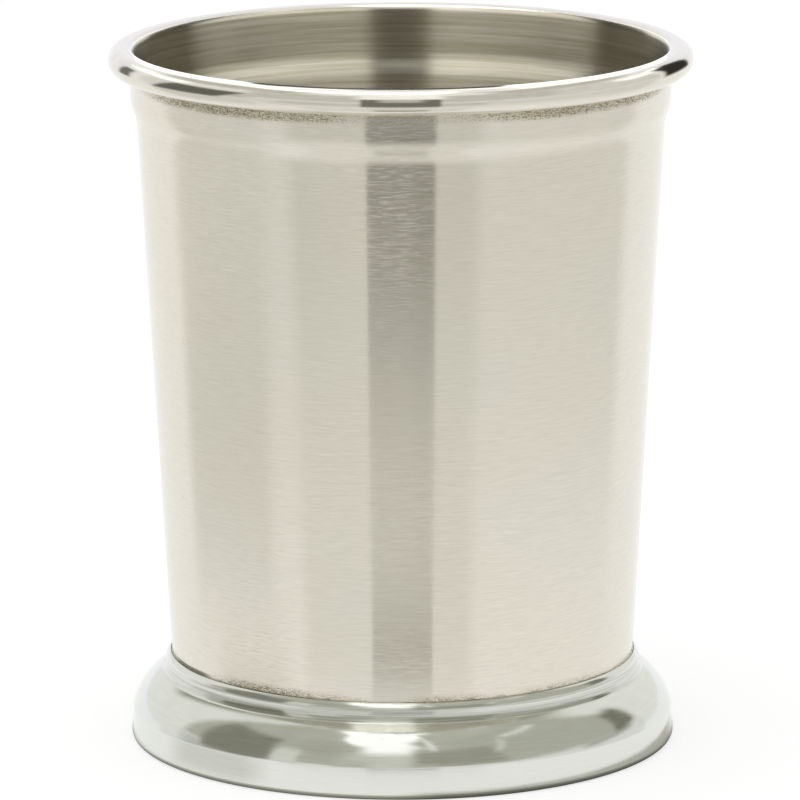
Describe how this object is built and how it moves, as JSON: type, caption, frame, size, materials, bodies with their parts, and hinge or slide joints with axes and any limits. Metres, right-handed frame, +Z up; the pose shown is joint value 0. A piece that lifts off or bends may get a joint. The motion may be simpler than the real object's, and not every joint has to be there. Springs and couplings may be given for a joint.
{
  "type": "julep cup",
  "caption": "Tapered metal julep cup with a curled rim, a stepped shoulder and a hollow moulded foot ring soldered round its base.",
  "frame": {"origin": "centre of the resting face under the foot, on the axis of the cup", "axes": "+Z up along the cup's axis, out of its mouth; the cup is round, so X and Y are alike"},
  "size_m": [0.0888, 0.0888, 0.1075],
  "materials": {
    "satin_steel": "satin, brushed round the axis",
    "polished_steel": "polished",
    "solder": "dull, darkened"
  },
  "bodies": {
    "root": {"cup_body": "satin_steel", "foot_ring": "polished_steel", "seam_solder": "solder", "base_solder": "solder"}
  },
  "joints": []
}
